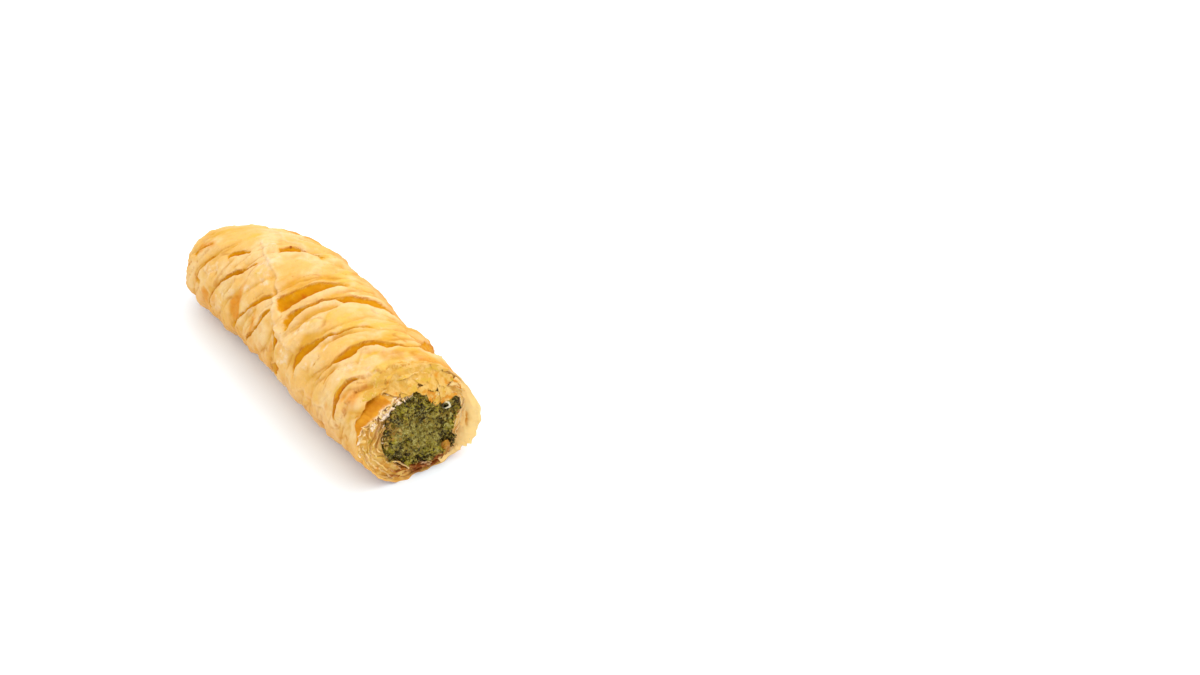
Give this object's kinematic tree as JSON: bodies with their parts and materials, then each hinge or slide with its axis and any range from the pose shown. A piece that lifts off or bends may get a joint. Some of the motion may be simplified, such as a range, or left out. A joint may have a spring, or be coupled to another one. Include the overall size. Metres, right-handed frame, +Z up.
{
  "type": "spinach borek",
  "caption": "Cut half of a baked filo roll with pleated golden skin, a tucked rounded end, and green spinach filling showing at the cut.",
  "frame": {"origin": "middle of the footprint, on the surface that the roll lies on", "axes": "+X along the roll towards the cut end, +Z up"},
  "size_m": [0.1314, 0.0472, 0.0379],
  "materials": {
    "baked_filo": "baked filo pastry, pale gold with amber creases, faint oily sheen",
    "spinach_and_cheese": "moist chopped spinach and crumbled white cheese"
  },
  "bodies": {
    "root": {"pastry": "baked_filo", "spinach_filling": "spinach_and_cheese"}
  },
  "joints": []
}
